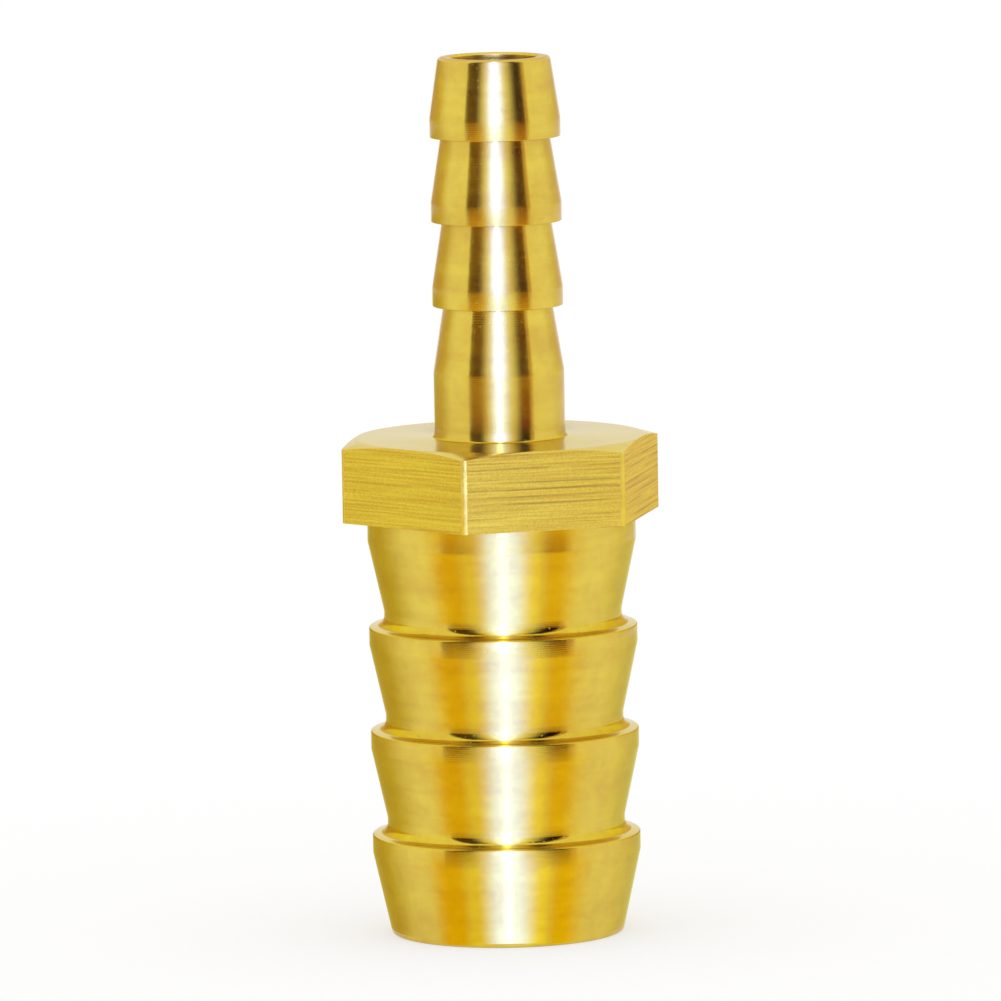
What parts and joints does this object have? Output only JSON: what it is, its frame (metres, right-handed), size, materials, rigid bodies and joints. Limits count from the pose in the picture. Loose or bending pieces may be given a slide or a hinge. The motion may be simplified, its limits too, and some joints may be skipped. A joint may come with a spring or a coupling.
{
  "type": "hose barb reducer",
  "caption": "Straight brass fitting that joins a wide hose to a narrow one end to end, with a barbed tail on each side of a hexagon and a bore right through",
  "frame": {"origin": "centre of the end face of the large tail, on which the fitting stands", "axes": "+Z along the bore from the large tail to the small tail, +X square to one flat of the hexagon, +Y through one corner of it"},
  "size_m": [0.015, 0.0172, 0.0459],
  "materials": {
    "brass": "turned bright on the tails, milled on the hexagon"
  },
  "bodies": {
    "root": {"reducer_body": "brass"}
  },
  "joints": []
}
